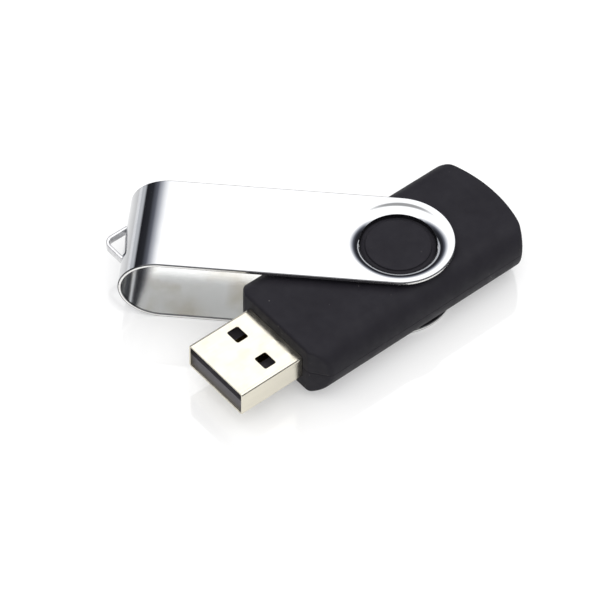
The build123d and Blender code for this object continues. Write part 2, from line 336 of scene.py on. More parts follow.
@dataclass(frozen=True)
class SatinSheet:
    """The sheet's unpolished inner face, with a faint brown heat stain."""

    colour: Colour = (0.68, 0.685, 0.68)
    stain: Colour = (0.52, 0.48, 0.40)
    stain_size: float = 7.0 * MM
    stain_span: Span = (0.52, 0.74)
    stain_strength: float = 0.7
    turn: float = math.radians(45)
    stretch: tuple[float, float, float] = (300.0, 14000.0, 14000.0)
    roughness: Span = (0.15, 0.21)
    relief: float = 0.0004 * MM

    def build(self) -> bpy.types.Material:
        """Make the material.

        Returns:
            The satin face, with rolling lines along the strip.
        """
        graph = Graph("satin_sheet")
        cloud = graph.noise(self.stain_size, detail=4.0)
        stained = graph.remap(cloud, self.stain_span, (0.0, self.stain_strength))
        graph.feed(graph.blend(stained, self.colour, self.stain), "Base Color")
        lines = graph.noise(1.0, 3.0, 0.6, graph.stretched(self.stretch, self.turn))
        graph.gloss(lines, (0.3, 0.75), self.roughness)
        graph.bump(lines, self.relief, 0.3)
        graph.set(Metallic=1.0)
        return graph.material


@dataclass(frozen=True)
class CutEdge:
    """The sheared and tumbled edge of the sheet."""

    colour: Colour = (0.84, 0.835, 0.82)
    shade: Colour = (0.70, 0.695, 0.68)
    stretch: tuple[float, float, float] = (900.0, 900.0, 12000.0)
    cloud: float = 0.4 * MM
    roughness: Span = (0.16, 0.30)
    relief: float = 0.003 * MM

    def build(self) -> bpy.types.Material:
        """Make the material.

        Returns:
            The edge, banded along its length by the shears.
        """
        graph = Graph("cut_edge")
        bands = graph.noise(1.0, detail=2.0, vector=graph.stretched(self.stretch))
        graph.tone(bands, BROAD, self.colour, self.shade)
        graph.gloss(graph.noise(self.cloud), BROAD, self.roughness)
        graph.bump(bands, self.relief, 0.4)
        graph.set(Metallic=1.0)
        return graph.material


@dataclass(frozen=True)
class PaintedDarkCorner:
    """The sheet's rounded corner lines, dull and painted dark: a painted reflection of dark surroundings."""

    # Near-black metal: a painted reflection of the dark room in the rounded edges, not the sheet's own
    # colour.
    colour: Colour = (0.15, 0.15, 0.155)
    shade: Colour = (0.10, 0.10, 0.105)
    nick: float = 0.5 * MM
    roughness: Span = (0.12, 0.24)
    relief: float = 0.004 * MM

    def build(self) -> bpy.types.Material:
        """Make the material.

        Returns:
            The corner line, nicked and mottled, its dark colour a painted reflection.
        """
        graph = Graph("painted_dark_corner")
        nicks = graph.noise(self.nick, 4.0, 0.6)
        graph.tone(nicks, MIDDLE, self.colour, self.shade)
        graph.gloss(nicks, BROAD, self.roughness)
        graph.bump(nicks, self.relief, 0.4)
        graph.set(Metallic=1.0)
        return graph.material


@dataclass(frozen=True)
class Nickel:
    """Warm nickel plating over folded sheet, lightly scuffed along the plug."""

    colour: Colour = (0.70, 0.665, 0.565)
    scuffed: Colour = (0.665, 0.63, 0.535)
    stretch: tuple[float, float, float] = (350.0, 9000.0, 9000.0)
    cloud: float = 2.0 * MM
    roughness: Span = (0.13, 0.27)
    relief: float = 0.0015 * MM

    def build(self) -> bpy.types.Material:
        """Make the material.

        Returns:
            The plating, with scratches along the plug.
        """
        graph = Graph("nickel")
        scratches = graph.noise(1.0, 3.0, 0.6, graph.stretched(self.stretch))
        graph.tone(scratches, (0.45, 0.7), self.colour, self.scuffed)
        graph.gloss(graph.noise(self.cloud, detail=4.0), BROAD, self.roughness)
        graph.bump(scratches, self.relief, 0.5)
        graph.set(Metallic=1.0)
        return graph.material


@dataclass(frozen=True)
class Plate:
    """A plated or tinned metal of small parts, with a mottled surface."""

    name: str
    colour: Colour
    shade: Colour
    roughness: Span = (0.18, 0.36)
    mottle: float = 0.5 * MM
    relief: float = 0.004 * MM

    def build(self) -> bpy.types.Material:
        """Make the material.

        Returns:
            The mottled metal, under the finish's own name.
        """
        graph = Graph(self.name)
        spots = graph.noise(self.mottle, 4.0, 0.6)
        graph.tone(spots, MIDDLE, self.colour, self.shade)
        graph.gloss(spots, BROAD, self.roughness)
        graph.bump(graph.noise(self.mottle / 3, detail=2.0), self.relief, 0.4)
        graph.set(Metallic=1.0)
        return graph.material


@dataclass(frozen=True)
class Moulded:
    """A moulded or fired insulator, with a fine grain and slight blotches."""

    name: str
    colour: Colour
    shade: Colour
    roughness: Span = (0.40, 0.55)
    blotch: float = 1.2 * MM
    grain: float = 0.08 * MM
    relief: float = 0.006 * MM

    def build(self) -> bpy.types.Material:
        """Make the material.

        Returns:
            The grained insulator, under the finish's own name.
        """
        graph = Graph(self.name)
        graph.tone(graph.noise(self.blotch, detail=4.0), MIDDLE, self.colour, self.shade)
        grain = graph.noise(self.grain, detail=2.0)
        graph.gloss(grain, BROAD, self.roughness)
        graph.bump(grain, self.relief, 0.5)
        return graph.material


@dataclass(frozen=True)
class Laminate:
    """Green solder mask over copper tracks, on a woven glass board."""

    mask: Colour = (0.012, 0.105, 0.040)
    track: Colour = (0.030, 0.190, 0.070)
    track_pitch: float = 0.55 * MM
    track_wander: float = 1.6
    track_height: float = 0.03 * MM
    zone: float = 5.0 * MM
    cloud: float = 0.3 * MM
    roughness: Span = (0.22, 0.36)
    band_period: float = 0.314  # spacing of a wave texture's bands at a scale of 1

    def build(self) -> bpy.types.Material:
        """Make the material.

        Returns:
            The masked board, with tracks in some zones of it.
        """
        graph = Graph("board_laminate")
        wave = graph.nodes.new("ShaderNodeTexWave")
        wave.wave_type = "BANDS"
        wave.bands_direction = "Y"
        wave.inputs["Scale"].default_value = self.band_period / self.track_pitch
        wave.inputs["Distortion"].default_value = self.track_wander
        wave.inputs["Detail"].default_value = 1.0
        graph.links.new(graph.place, wave.inputs["Vector"])
        tracks = graph.remap(wave.outputs["Fac"], (0.62, 0.70), FULL)
        zones = graph.remap(graph.noise(self.zone, detail=1.0), (0.46, 0.52), FULL)
        shown = graph.compute("MULTIPLY", tracks, zones)
        graph.feed(graph.blend(shown, self.mask, self.track), "Base Color")
        graph.gloss(graph.noise(self.cloud), BROAD, self.roughness)
        graph.bump(shown, self.track_height, 0.6)
        return graph.material


# ---- meshes ---------------------------------------------------------------------


class Skin:
    """Grows one mesh from rings of points that are joined by quads."""

    def __init__(self) -> None:
        """Start an empty mesh."""
        self.bm = bmesh.new()

    def ring(self, points: Iterable[Sequence[float]]) -> Ring:
        """Add a ring of vertices, in metres."""
        return [self.bm.verts.new(point) for point in points]

    def bridge(self, first: Ring, second: Ring, slot: int = 0, closed: bool = True) -> None:
        """Join two rings of equal length with quads.

        Args:
            first: one ring.
            second: the other.
            slot: material index of the quads.
            closed: whether the last vertex joins the first again.
        """
        count = len(first)
        for index in range(count if closed else count - 1):
            after = (index + 1) % count
            face = self.bm.faces.new((first[index], first[after], second[after], second[index]))
            face.material_index = slot

    def fan(self, ring: Ring, centre: Sequence[float]) -> None:
        """Close a ring with triangles.

        Args:
            ring: the ring to close.
            centre: the point where the triangles meet.
        """
        pole = self.bm.verts.new(centre)
        for index, vert in enumerate(ring):
            self.bm.faces.new((vert, ring[(index + 1) % len(ring)], pole))

    def bar(self, ends: Sequence[Vector], outline: Iterable[Vector]) -> None:
        """Add a closed bar: one outline at each of two ends, joined and capped.

        Args:
            ends: the middle of the bar's first and second end.
            outline: the section's points, relative to that middle.
        """
        section = list(outline)
        rings = []
        for end in ends:
            rings.append(self.ring(end + spot for spot in section))
            self.fan(rings[-1], end)
        self.bridge(*rings)

    def brick(self, low: Sequence[float], high: Sequence[float]) -> None:
        """Add a closed box.

        Args:
            low: its lowest corner.
            high: its highest corner.
        """
        for vert in bmesh.ops.create_cube(self.bm, size=1.0)["verts"]:
            vert.co = Vector([a + (b - a) * (c + 0.5) for a, b, c in zip(low, high, vert.co)])

    def finish(self, name: str, outward: bool = True) -> bpy.types.Object:
        """Turn the mesh into an object of the given name.

        Args:
            name: the object's name.
            outward: recalculate the normals of a closed mesh to face out.

        Returns:
            The new object, at the origin, smooth shaded.
        """
        bmesh.ops.remove_doubles(self.bm, verts=self.bm.verts, dist=1e-7)
        if outward:
            bmesh.ops.recalc_face_normals(self.bm, faces=self.bm.faces)
        for face in self.bm.faces:
            face.smooth = True
        mesh = bpy.data.meshes.new(name)
        self.bm.to_mesh(mesh)
        self.bm.free()
        made = bpy.data.objects.new(name, mesh)
        bpy.context.scene.collection.objects.link(made)
        return made


def sharpen(piece: bpy.types.Object, angle: float) -> None:
    """Split the shading where faces meet at more than an angle in degrees."""
    piece.data.set_sharp_from_angle(angle=math.radians(angle))


def rounded_edges(
    piece: bpy.types.Object, width: float, angle: float, segments: int = 2, material: int = -1
) -> None:
    """Round a piece's sharp edges with a Bevel modifier.

    Args:
        piece: the piece to finish.
        width: width of the rounding, in metres.
        angle: edges that turn by more than this many degrees are rounded.
        segments: faces across each rounding.
        material: material index for the rounding, or -1 for its neighbour's.
    """
    bevel = piece.modifiers.new("rounded_edges", "BEVEL")
    bevel.width = width
    bevel.segments = segments
    bevel.limit_method = "ANGLE"
    bevel.angle_limit = math.radians(angle)
    bevel.use_clamp_overlap = True
    bevel.miter_outer = "MITER_ARC"
    bevel.harden_normals = True
    bevel.material = material


def even_shading(piece: bpy.types.Object) -> None:
    """Let large flat faces rule the shading of the small ones beside them.

    Args:
        piece: the piece to finish.
    """
    weights = piece.modifiers.new("even_shading", "WEIGHTED_NORMAL")
    weights.keep_sharp = True
    weights.weight = 100


def applied(piece: bpy.types.Object) -> bpy.types.Object:
    """Bake a piece's modifiers into its mesh and remove them.

    Args:
        piece: the piece to bake.

    Returns:
        The same piece, now a plain mesh.
    """
    graph = bpy.context.evaluated_depsgraph_get()
    mesh = bpy.data.meshes.new_from_object(piece.evaluated_get(graph))
    piece.modifiers.clear()
    old = piece.data
    piece.data = mesh
    bpy.data.meshes.remove(old)
    return piece


def carved(piece: bpy.types.Object, cutters: Sequence[bpy.types.Object]) -> bpy.types.Object:
    """Cut closed shapes out of a closed piece and throw the cutters away.

    Args:
        piece: the piece to cut.
        cutters: the shapes to cut out of it.

    Returns:
        The same piece, carved.
    """
    for cutter in cutters:
        cut = piece.modifiers.new("cut", "BOOLEAN")
        cut.operation = "DIFFERENCE"
        cut.solver = "EXACT"
        cut.object = cutter
    applied(piece)
    for cutter in cutters:
        bpy.data.objects.remove(cutter)
    return piece


def dressed(
    piece: bpy.types.Object,
    body: Body,
    materials: Sequence[bpy.types.Material],
    nodes: Sequence[str],
) -> bpy.types.Object:
    """Give a piece its materials and body, in place of some CAD nodes.

    Args:
        piece: the finished piece.
        body: the body that it rides on.
        materials: one for each of its material indices.
        nodes: the CAD nodes that it stands for.

    Returns:
        The same piece.
    """
    piece.data.materials.clear()
    for material in materials:
        piece.data.materials.append(material)
    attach(piece, body.value)
    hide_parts(*nodes)
    log.info("%s: %d faces, on %s", piece.name, len(piece.data.polygons), body.value)
    return piece


def rounded_rectangle(width: float, height: float, radius: float, steps: int = 7) -> list[Point2]:
    """Outline of a rectangle with round corners, anticlockwise.

    Args:
        width: overall width.
        height: overall height.
        radius: radius of the corners.
        steps: straight pieces in each corner.

    Returns:
        The outline's points, centred on zero.
    """
    points = []
    for quarter in range(4):
        sign_x = (1, -1, -1, 1)[quarter]
        sign_y = (1, 1, -1, -1)[quarter]
        for step in range(steps + 1):
            angle = math.pi / 2 * (quarter + step / steps)
            points.append(
                (
                    sign_x * (width / 2 - radius) + radius * math.cos(angle),
                    sign_y * (height / 2 - radius) + radius * math.sin(angle),
                )
            )
    return points


def spread(start: float, end: float, count: int) -> list[float]:
    """Evenly spaced values from start to end, both included."""
    return [start + (end - start) * index / (count - 1) for index in range(count)]


# ---- cover ----------------------------------------------------------------------


@dataclass
class SwivelCover:
    """The sheet-metal strip bent to a U, dished round its two pivot holes."""

    pivot: Vector
    half_height: float
    turn: float = math.radians(-45)
    width: float = 16.65 * MM
    thickness: float = 0.6 * MM
    reach: float = 40.15 * MM
    bend_depth: float = 6.4 * MM
    hole_radius: float = 5.62 * MM
    dish_radius: float = 6.58 * MM
    dish_depth: float = 0.91 * MM
    lip_radius: float = 2.2 * MM
    edge_radius: float = 0.21 * MM
    edge_angle: float = 55.0
    around: int = 128
    lip_steps: int = 9
    leg_rows: int = 11
    bend_rows: int = 65

    def point(self, along: float, across: float, up: float) -> Vector:
        """Point on the strip, from its own axes at the pivot.

        Args:
            along: distance from the pivot towards the bend.
            across: distance to the side.
            up: height above the pivot's.

        Returns:
            The point in the part's frame.
        """
        ahead = Vector((math.cos(self.turn), math.sin(self.turn), 0.0))
        aside = Vector((-math.sin(self.turn), math.cos(self.turn), 0.0))
        return self.pivot + ahead * along + aside * across + Vector((0.0, 0.0, up))

    def dish_profile(self) -> list[Point2]:
        """Middle of the sheet from the hole outwards.

        Returns:
            Radius and height of each ring, up to where the sheet is flat.
        """
        slope = math.atan2(self.dish_depth, self.dish_radius - self.hole_radius)
        half = self.thickness / 2
        flat = self.half_height - half
        start_r = self.hole_radius + half * math.sin(slope)
        start_z = self.half_height - self.dish_depth - half * math.cos(slope)
        corner = start_r + (flat - start_z) / math.tan(slope)
        tangent = self.lip_radius * math.tan(slope / 2)
        profile = [(start_r, start_z)]
        centre_r = corner + tangent
        centre_z = flat - self.lip_radius
        for angle in spread(slope, 0.0, self.lip_steps):
            lip_r = centre_r - self.lip_radius * math.sin(angle)
            profile.append((lip_r, centre_z + self.lip_radius * math.cos(angle)))
        middle = ((start_r + profile[1][0]) / 2, (start_z + profile[1][1]) / 2)
        profile.insert(1, middle)
        return profile

    def rim_point(self, angle: float) -> Point2:
        """Where a bearing from the pivot meets the end's rim, or a square in front of it.

        Args:
            angle: the bearing, in radians from the strip's length.

        Returns:
            The point, as distances along and across the strip.
        """
        radius = self.width / 2
        x, y = math.cos(angle), math.sin(angle)
        reach = radius if x < 1e-9 else radius / max(x, abs(y))
        return reach * x, reach * y

    def bearings(self) -> list[float]:
        """Evenly spaced bearings all round the pivot."""
        return [2 * math.pi * index / self.around for index in range(self.around)]

    def front_bearings(self) -> range:
        """Indices of the bearings that look along the straight leg."""
        return range(-(self.around // 8), self.around // 8 + 1)

    def leg_end(self, skin: Skin, sign: int) -> Ring:
        """Lay one leg's dished end.

        Args:
            skin: the mesh that the faces go to.
            sign: 1 for the upper leg and -1 for the lower.

        Returns:
            The row across the strip where the straight leg begins.
        """
        angles = self.bearings()
        profile = self.dish_profile()
        rings = [
            skin.ring(self.point(radius * math.cos(a), radius * math.sin(a), sign * height) for a in angles)
            for radius, height in profile
        ]
        flat = sign * profile[-1][1]
        rings.append(skin.ring(self.point(*self.rim_point(a), flat) for a in angles))
        for inner, outer in zip(rings, rings[1:]):
            skin.bridge(inner, outer)
        return [rings[-1][index] for index in self.front_bearings()]

    def rows(self) -> list[Point2]:
        """Middle of the sheet from leg to leg.

        Returns:
            Distance along the strip and height of each row across it.
        """
        half = self.half_height - self.thickness / 2
        depth = self.bend_depth - self.thickness / 2
        bend_start = self.reach - self.bend_depth
        legs = spread(self.width / 2, bend_start, self.leg_rows)
        bend = [
            (bend_start + depth * math.sin(angle), half * math.cos(angle))
            for angle in spread(0.0, math.pi, self.bend_rows)
        ]
        upper = [(along, half) for along in legs[1:-1]]
        lower = [(along, -half) for along in reversed(legs[1:-1])]
        return upper + bend + lower

    def build(self) -> bpy.types.Object:
        """Make the strip as one sheet, which two modifiers thicken and round.

        Returns:
            The strip, whose material indices are outside, inside, edge and corner; the corner's dark finish
            is a painted reflection.
        """
        skin = Skin()
        previous = self.leg_end(skin, 1)
        last = self.leg_end(skin, -1)
        step = 2 * math.pi / self.around
        columns = [self.width / 2 * math.tan(step * index) for index in self.front_bearings()]
        for along, up in self.rows():
            current = skin.ring(self.point(along, across, up) for across in columns)
            skin.bridge(previous, current, closed=False)
            previous = current
        skin.bridge(previous, last, closed=False)
        strip = skin.finish("cover_strip")
        if self.faces_inward(strip):
            strip.data.flip_normals()
        wall = strip.modifiers.new("wall", "SOLIDIFY")
        wall.thickness = self.thickness
        wall.offset = 0.0
        wall.use_even_offset = True
        wall.material_offset = 1
        wall.material_offset_rim = 2
        # The roundings take slot 3, whose dark colour is a painted reflection.
        rounded_edges(strip, self.edge_radius, self.edge_angle, segments=3, material=3)
        return strip

    def faces_inward(self, strip: bpy.types.Object) -> bool:
        """Whether the upper leg's flat faces point down."""
        top = max(strip.data.polygons, key=lambda face: face.center.z)
        return top.normal.z < 0

    def dress(self) -> bpy.types.Object:
        """Build the strip and give it its four finishes.

        Returns:
            The finished cover.
        """
        # The fourth finish paints the rounded corner lines dark, a painted reflection.
        kinds: tuple[Finish, ...] = (PolishedSheet(), SatinSheet(), CutEdge(), PaintedDarkCorner())
        finishes = [kind.build() for kind in kinds]
        return dressed(self.build(), Body.COVER, finishes, ["swivel_cover"])


@dataclass
class KeyLoop:
    """A narrow strip folded to a vee, its feet peened inside the bend."""

    cover: SwivelCover
    projection: float = 2.65 * MM
    nose_radius: float = 1.6 * MM
    strip: float = 0.5 * MM
    height: float = 1.3 * MM
    foot: float = 0.9 * MM
    edge_radius: float = 0.12 * MM
    fillet: float = 0.25 * MM
    fillet_dip: float = 0.06 * MM
    foot_dip: float = 0.05 * MM
    foot_bend: float = 0.2 * MM
    nose_steps: int = 9

    def half_path(self) -> list[tuple[Point2, float]]:
        """Middle line of the strip, from the nose to one foot.

        Returns:
            The points along it, each with its heading in radians.
        """
        middle_radius = self.nose_radius - self.strip / 2
        nose = self.cover.reach + self.projection - self.strip / 2
        centre = nose - middle_radius
        path = []
        for angle in spread(0.0, math.pi / 4, self.nose_steps):
            spot = (centre + middle_radius * math.cos(angle), middle_radius * math.sin(angle))
            path.append((spot, angle + math.pi / 2))
        flank_x, flank_y = path[-1][0]
        wall = self.cover.reach
        wall_inside = wall - self.cover.thickness
        base_y = flank_y + (flank_x - wall)
        path.append(((wall + self.fillet, base_y - self.fillet), 0.75 * math.pi))
        path.append(((wall + self.fillet_dip, base_y - self.fillet_dip), 0.875 * math.pi))
        path.append(((wall - self.fillet, base_y), math.pi))
        path.append(((wall_inside, base_y), math.pi))
        foot_x = wall_inside - self.strip / 2
        path.append(((foot_x + self.foot_dip, base_y + self.foot_dip), 0.75 * math.pi))
        path.append(((foot_x, base_y + self.foot_bend), 0.5 * math.pi))
        path.append(((foot_x, base_y + self.foot), 0.5 * math.pi))
        return path

    def build(self) -> bpy.types.Object:
        """Sweep a rounded flat section along the folded path.

        Returns:
            The loop as one closed mesh.
        """
        half = self.half_path()
        mirrored = [((x, -y), math.pi - heading) for (x, y), heading in reversed(half[1:])]
        path = mirrored + half
        section = rounded_rectangle(self.strip, self.height, self.edge_radius, steps=4)
        skin = Skin()
        rings = []
        for (x, y), heading in path:
            out_x, out_y = math.sin(heading), -math.cos(heading)
            rings.append(
                skin.ring(self.cover.point(x + a * out_x, y + a * out_y, b) for a, b in section)
            )
        for first, second in zip(rings, rings[1:]):
            skin.bridge(first, second)
        for end in (0, -1):
            (x, y), _ = path[end]
            skin.fan(rings[end], self.cover.point(x, y, 0.0))
        return skin.finish("folded_loop")

    def dress(self) -> bpy.types.Object:
        """Build the loop and give it a polished finish.

        Returns:
            The finished loop.
        """
        finish = Plate("loop_metal", (0.66, 0.66, 0.67), (0.52, 0.52, 0.53), (0.06, 0.14))
        loop = dressed(self.build(), Body.COVER, [finish.build()], ["key_loop"])
        sharpen(loop, 50.0)
        return loop


# ---- casing ---------------------------------------------------------------------


@dataclass
class CasingHalf:
    """One moulded half of the casing, from its cavity round to its boss."""

    pivot: Vector
    side: Side
    width: float = 20.0 * MM
    height: float = 8.9 * MM
    front: float = 23.12 * MM
    tail: float = 18.24 * MM
    tail_radius: float = 22.3 * MM
    flat_half_width: float = 6.6 * MM
    front_half_width: float = 7.14 * MM
    chamfer_slope: float = 0.748
    top_fillet: float = 0.55 * MM
    cavity_front: float = 20.92 * MM
    cavity_tail: float = 15.42 * MM
    cavity_half_width: float = 7.85 * MM
    cavity_half_height: float = 2.94 * MM
    groove_radius: float = 6.58 * MM
    groove_floor: float = 3.74 * MM
    journal_radius: float = 5.57 * MM
    journal_top: float = 4.32 * MM
    boss_radius: float = 4.87 * MM
    boss_top: float = 4.65 * MM
    edge_radius: float = 0.06 * MM
    boss_edge: float = 0.15 * MM
    seam_depth: float = 0.04 * MM
    seam_half_gap: float = 0.012 * MM
    nose_share: float = 0.93
    nose_radius: float = 0.4 * MM
    shoulder_radius: float = 0.55 * MM
    rump_radius: float = 0.8 * MM
    passage_width: float = 12.1 * MM
    passage_height: float = 4.6 * MM
    passage_corner: float = 0.55 * MM
    passage_overrun: float = 1.0 * MM
    levels: int = 26
    nose_steps: int = 12
    side_steps: int = 30
    tail_steps: int = 16

    def point(self, x: float, y: float, z: float) -> Vector:
        """Point in the part's frame, with its height measured away from the seam."""
        return self.pivot + Vector((x, y, z * self.side.value))

    def corner(
        self, before: Point2, tip: Point2, after: Point2, radius: float, steps: int = 7
    ) -> list[Point2]:
        """Round one corner of an outline.

        Args:
            before: the point that the outline comes from.
            tip: the sharp corner.
            after: the point that the outline goes to.
            radius: distance from the corner to the ends of the curve.
            steps: straight pieces in the curve.

        Returns:
            Points along the curve, both ends included.
        """
        tip_v = Vector(tip)
        back = Vector(before) - tip_v
        ahead = Vector(after) - tip_v
        most = 0.45  # share of a side that one corner may take
        start = tip_v + back.normalized() * min(radius, back.length * most)
        end = tip_v + ahead.normalized() * min(radius, ahead.length * most)
        points = []
        for share in spread(0.0, 1.0, steps + 1):
            spot = start * (1 - share) ** 2 + tip_v * 2 * share * (1 - share) + end * share**2
            points.append((spot.x, spot.y))
        return points

    def outline(self, half_width: float, inset: float) -> list[Point2]:
        """Plan of the casing at one height, anticlockwise from the front.

        Args:
            half_width: half the width of the casing there.
            inset: how far the front and the tail draw in.

        Returns:
            Points in the plane of the seam, always the same number.
        """
        front = self.front - inset
        nose_y = min(self.front_half_width, half_width * self.nose_share)
        shoulder_tip = (front - (half_width - nose_y) * self.chamfer_slope, half_width)
        arc = self.tail_radius - inset
        centre = self.tail_radius - self.tail
        tail_angle = math.asin(half_width / arc)
        tail_tip = (centre - arc * math.cos(tail_angle), half_width)
        on_tail = tail_angle * 0.8
        tail_spot = (centre - arc * math.cos(on_tail), arc * math.sin(on_tail))
        nose = self.corner((front, 0.0), (front, nose_y), shoulder_tip, self.nose_radius)
        shoulder = self.corner((front, nose_y), shoulder_tip, tail_tip, self.shoulder_radius)
        rump = self.corner(shoulder_tip, tail_tip, tail_spot, self.rump_radius)
        half = [(front, value) for value in spread(0.0, nose[0][1], self.nose_steps)[:-1]]
        half += nose + shoulder
        side = spread(shoulder[-1][0], rump[0][0], self.side_steps)
        half += [(value, half_width) for value in side[1:-1]]
        half += rump
        last_angle = math.asin(min(1.0, rump[-1][1] / arc))
        round_tail = spread(last_angle, 0.0, self.tail_steps)
        half += [(centre - arc * math.cos(a), arc * math.sin(a)) for a in round_tail[1:-1]]
        mirrored = [(x, -y) for x, y in reversed(half[1:])]
        return half + [(centre - arc, 0.0)] + mirrored

    def sections(self) -> list[tuple[list[Point2], float]]:
        """Outlines at growing heights, from the seam up to the flat face.

        Returns:
            Each outline with its height.
        """
        rise = self.height / 2
        drop = self.width / 2 - self.flat_half_width
        rows = [(self.outline(self.width / 2 - self.seam_depth, self.seam_depth), self.seam_half_gap)]
        for angle in spread(0.0, math.pi / 2, self.levels):
            height = max(rise * math.sin(angle), self.seam_depth)
            half_width = self.flat_half_width + drop * math.cos(angle)
            over = max(0.0, height - (rise - self.top_fillet))
            inset = self.top_fillet - math.sqrt(max(0.0, self.top_fillet**2 - over**2))
            rows.append((self.outline(half_width, inset), height))
        return rows

    def cavity_ring(self, outline: Sequence[Point2]) -> list[Point2]:
        """Points of the cavity's wall on the same bearings as an outline.

        Args:
            outline: the outline of the casing at the seam.

        Returns:
            As many points, all on the cavity's rectangle.
        """
        points = []
        for x, y in outline:
            limit_x = self.cavity_front if x > 0 else self.cavity_tail
            reach = max(abs(x) / limit_x, abs(y) / self.cavity_half_width)
            points.append((x / reach, y / reach))
        return points

    def turned_rings(self) -> list[Point2]:
        """Rings from the groove's rim in to the top of the boss.

        Returns:
            Radius and height of each ring.
        """
        rise = self.height / 2
        soft = self.edge_radius
        return [
            (self.groove_radius + soft, rise),
            (self.groove_radius, rise - soft),
            (self.groove_radius, self.groove_floor + soft),
            (self.groove_radius - soft, self.groove_floor),
            (self.journal_radius + soft, self.groove_floor),
            (self.journal_radius, self.groove_floor + soft),
            (self.journal_radius, self.journal_top - soft),
            (self.journal_radius - soft, self.journal_top),
            (self.boss_radius + soft, self.journal_top),
            (self.boss_radius, self.journal_top + soft),
            (self.boss_radius, self.boss_top - self.boss_edge),
            (self.boss_radius - 0.28 * self.boss_edge, self.boss_top - 0.32 * self.boss_edge),
            (self.boss_radius - self.boss_edge, self.boss_top),
            (self.boss_radius * 0.6, self.boss_top),
        ]

    def build(self) -> bpy.types.Object:
        """Make the half as one closed skin, cut away where the plug passes.

        Returns:
            The half, whose second material index is the bearing, painted near black as the shadow in that
            recess.
        """
        skin = Skin()
        rows = self.sections()
        face = rows[-1][0]
        inner = self.cavity_ring(rows[0][0])
        ceiling = skin.ring(self.point(x, y, self.cavity_half_height) for x, y in inner)
        skin.fan(ceiling, self.point(0.0, 0.0, self.cavity_half_height))
        previous = skin.ring(self.point(x, y, self.seam_half_gap) for x, y in inner)
        skin.bridge(ceiling, previous)
        for points, height in rows:
            current = skin.ring(self.point(x, y, height) for x, y in points)
            skin.bridge(previous, current)
            previous = current
        rings = self.turned_rings()
        bearings = [math.atan2(y, x) for x, y in face]
        rim = [(rings[0][0] * math.cos(a), rings[0][0] * math.sin(a)) for a in bearings]
        for share in (0.35, 0.7):
            between = [(x + (u - x) * share, y + (v - y) * share) for (x, y), (u, v) in zip(face, rim)]
            current = skin.ring(self.point(x, y, self.height / 2) for x, y in between)
            skin.bridge(previous, current)
            previous = current
        for radius, height in rings:
            current = skin.ring(
                self.point(radius * math.cos(a), radius * math.sin(a), height) for a in bearings
            )
            # The groove and journal take the second slot, painted near black as the shadow in that recess.
            bearing = self.boss_radius <= radius < self.groove_radius
            skin.bridge(previous, current, slot=int(bearing))
            previous = current
        skin.fan(previous, self.point(0.0, 0.0, self.boss_top))
        half = skin.finish(f"casing_{self.side.name.lower()}_half")
        return carved(half, [self.plug_cutter()])

    def plug_cutter(self) -> bpy.types.Object:
        """A rounded bar where the plug passes through the front wall.

        Returns:
            The bar, which reaches past the wall on both sides.
        """
        section = rounded_rectangle(self.passage_width, self.passage_height, self.passage_corner)
        reach = (self.cavity_front - self.passage_overrun, self.front + self.passage_overrun)
        ends = [self.pivot + Vector((x, 0.0, 0.0)) for x in reach]
        skin = Skin()
        skin.bar(ends, (Vector((0.0, y, z)) for y, z in section))
        return skin.finish("plug_cutter")

    def dress(self, coating: bpy.types.Material, groove_shade: bpy.types.Material) -> bpy.types.Object:
        """Build the half, coat it, and paint the bearing round the boss near black, a painted shadow in the
        recess.

        Args:
            coating: finish of the outside.
            groove_shade: finish of the groove and the journal, near black as painted shade in the recess.

        Returns:
            The finished half.
        """
        node = f"{self.side.name.lower()}_casing"
        half = dressed(self.build(), Body.CASING, [coating, groove_shade], [node])
        sharpen(half, 50.0)
        even_shading(half)
        return half


# ---- plug -----------------------------------------------------------------------


